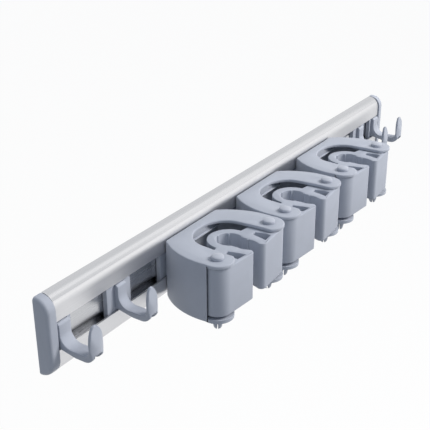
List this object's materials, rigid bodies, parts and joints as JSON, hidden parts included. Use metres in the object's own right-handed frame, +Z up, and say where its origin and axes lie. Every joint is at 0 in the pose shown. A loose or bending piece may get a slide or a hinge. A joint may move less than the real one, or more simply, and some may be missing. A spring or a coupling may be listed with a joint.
{
  "type": "wall mop holder rack",
  "caption": "Wall rack for mops and brooms: an aluminium rail with end caps, carrying sliding clips whose swinging jaws grip a handle, and sliding hooks for cloths and small tools.",
  "frame": {"origin": "on the wall plane, at the middle of the rail's length and height", "axes": "+X along the rail to the right as seen from the room, +Y into the wall, +Z up; the rack stands out toward -Y"},
  "size_m": [0.45, 0.0648, 0.058],
  "materials": {
    "rail": "satin anodised",
    "plastic": "fine satin moulding",
    "gripper": "soft matte moulding",
    "pin": "satin moulding"
  },
  "bodies": {
    "rack": {"rail": "rail", "end_cap_left": "plastic", "end_cap_right": "plastic"},
    "hook_1": {"hook_1": "plastic"},
    "hook_2": {"hook_2": "plastic"},
    "hook_3": {"hook_3": "plastic"},
    "hook_4": {"hook_4": "plastic"},
    "clip_1": {"clip_1_body": "plastic", "clip_1_pin_left": "pin", "clip_1_pin_right": "pin"},
    "clip_1_jaw_left": {"clip_1_jaw_left": "gripper"},
    "clip_1_jaw_right": {"clip_1_jaw_right": "gripper"},
    "clip_1_band_left": {"clip_1_band_left": "gripper"},
    "clip_1_band_right": {"clip_1_band_right": "gripper"},
    "clip_2": {"clip_2_body": "plastic", "clip_2_pin_left": "pin", "clip_2_pin_right": "pin"},
    "clip_2_jaw_left": {"clip_2_jaw_left": "gripper"},
    "clip_2_jaw_right": {"clip_2_jaw_right": "gripper"},
    "clip_2_band_left": {"clip_2_band_left": "gripper"},
    "clip_2_band_right": {"clip_2_band_right": "gripper"},
    "clip_3": {"clip_3_body": "plastic", "clip_3_pin_left": "pin", "clip_3_pin_right": "pin"},
    "clip_3_jaw_left": {"clip_3_jaw_left": "gripper"},
    "clip_3_jaw_right": {"clip_3_jaw_right": "gripper"},
    "clip_3_band_left": {"clip_3_band_left": "gripper"},
    "clip_3_band_right": {"clip_3_band_right": "gripper"}
  },
  "joints": [
    {"name": "hook_1_slide", "type": "slide", "parent": "rack", "child": "hook_1", "axis": [1, 0, 0], "range_m": [0, 0.0278]},
    {"name": "hook_2_slide", "type": "slide", "parent": "rack", "child": "hook_2", "axis": [1, 0, 0], "range_m": [-0.0278, 0.0278]},
    {"name": "hook_3_slide", "type": "slide", "parent": "rack", "child": "hook_3", "axis": [1, 0, 0], "range_m": [-0.0463, 0.0078]},
    {"name": "hook_4_slide", "type": "slide", "parent": "rack", "child": "hook_4", "axis": [1, 0, 0], "range_m": [-0.0078, 0]},
    {"name": "clip_1_slide", "type": "slide", "parent": "rack", "child": "clip_1", "axis": [1, 0, 0], "range_m": [-0.0278, 0.0005]},
    {"name": "clip_1_jaw_left", "type": "hinge", "parent": "clip_1", "child": "clip_1_jaw_left", "pos_m": [-0.1177, -0.053, 0], "axis": [0, 0, 1], "range_deg": [-12, 20]},
    {"name": "clip_1_jaw_right", "type": "hinge", "parent": "clip_1", "child": "clip_1_jaw_right", "pos_m": [-0.0553, -0.053, 0], "axis": [0, 0, 1], "range_deg": [-20, 12]},
    {"name": "clip_1_band_left", "type": "hinge", "parent": "clip_1_jaw_left", "child": "clip_1_band_left", "pos_m": [-0.09855, -0.053, 0], "axis": [0, 0, 1], "range_deg": [-20, 12]},
    {"name": "clip_1_band_right", "type": "hinge", "parent": "clip_1_jaw_right", "child": "clip_1_band_right", "pos_m": [-0.07445, -0.053, 0], "axis": [0, 0, 1], "range_deg": [-12, 20]},
    {"name": "clip_2_slide", "type": "slide", "parent": "rack", "child": "clip_2", "axis": [1, 0, 0], "range_m": [-0.0005, 0.0048]},
    {"name": "clip_2_jaw_left", "type": "hinge", "parent": "clip_2", "child": "clip_2_jaw_left", "pos_m": [-0.0327, -0.053, 0], "axis": [0, 0, 1], "range_deg": [-12, 20]},
    {"name": "clip_2_jaw_right", "type": "hinge", "parent": "clip_2", "child": "clip_2_jaw_right", "pos_m": [0.0297, -0.053, 0], "axis": [0, 0, 1], "range_deg": [-20, 12]},
    {"name": "clip_2_band_left", "type": "hinge", "parent": "clip_2_jaw_left", "child": "clip_2_band_left", "pos_m": [-0.01355, -0.053, 0], "axis": [0, 0, 1], "range_deg": [-20, 12]},
    {"name": "clip_2_band_right", "type": "hinge", "parent": "clip_2_jaw_right", "child": "clip_2_band_right", "pos_m": [0.01055, -0.053, 0], "axis": [0, 0, 1], "range_deg": [-12, 20]},
    {"name": "clip_3_slide", "type": "slide", "parent": "rack", "child": "clip_3", "axis": [1, 0, 0], "range_m": [-0.0048, 0.0463]},
    {"name": "clip_3_jaw_left", "type": "hinge", "parent": "clip_3", "child": "clip_3_jaw_left", "pos_m": [0.0566, -0.053, 0], "axis": [0, 0, 1], "range_deg": [-12, 20]},
    {"name": "clip_3_jaw_right", "type": "hinge", "parent": "clip_3", "child": "clip_3_jaw_right", "pos_m": [0.119, -0.053, 0], "axis": [0, 0, 1], "range_deg": [-20, 12]},
    {"name": "clip_3_band_left", "type": "hinge", "parent": "clip_3_jaw_left", "child": "clip_3_band_left", "pos_m": [0.07575, -0.053, 0], "axis": [0, 0, 1], "range_deg": [-20, 12]},
    {"name": "clip_3_band_right", "type": "hinge", "parent": "clip_3_jaw_right", "child": "clip_3_band_right", "pos_m": [0.09985, -0.053, 0], "axis": [0, 0, 1], "range_deg": [-12, 20]}
  ],
  "couplings": [
    {"joint": "clip_1_jaw_right", "follows": "clip_1_jaw_left", "ratio": -1},
    {"joint": "clip_1_band_left", "follows": "clip_1_jaw_left", "ratio": -1},
    {"joint": "clip_1_band_right", "follows": "clip_1_jaw_left", "ratio": 1},
    {"joint": "clip_2_jaw_right", "follows": "clip_2_jaw_left", "ratio": -1},
    {"joint": "clip_2_band_left", "follows": "clip_2_jaw_left", "ratio": -1},
    {"joint": "clip_2_band_right", "follows": "clip_2_jaw_left", "ratio": 1},
    {"joint": "clip_3_jaw_right", "follows": "clip_3_jaw_left", "ratio": -1},
    {"joint": "clip_3_band_left", "follows": "clip_3_jaw_left", "ratio": -1},
    {"joint": "clip_3_band_right", "follows": "clip_3_jaw_left", "ratio": 1}
  ]
}
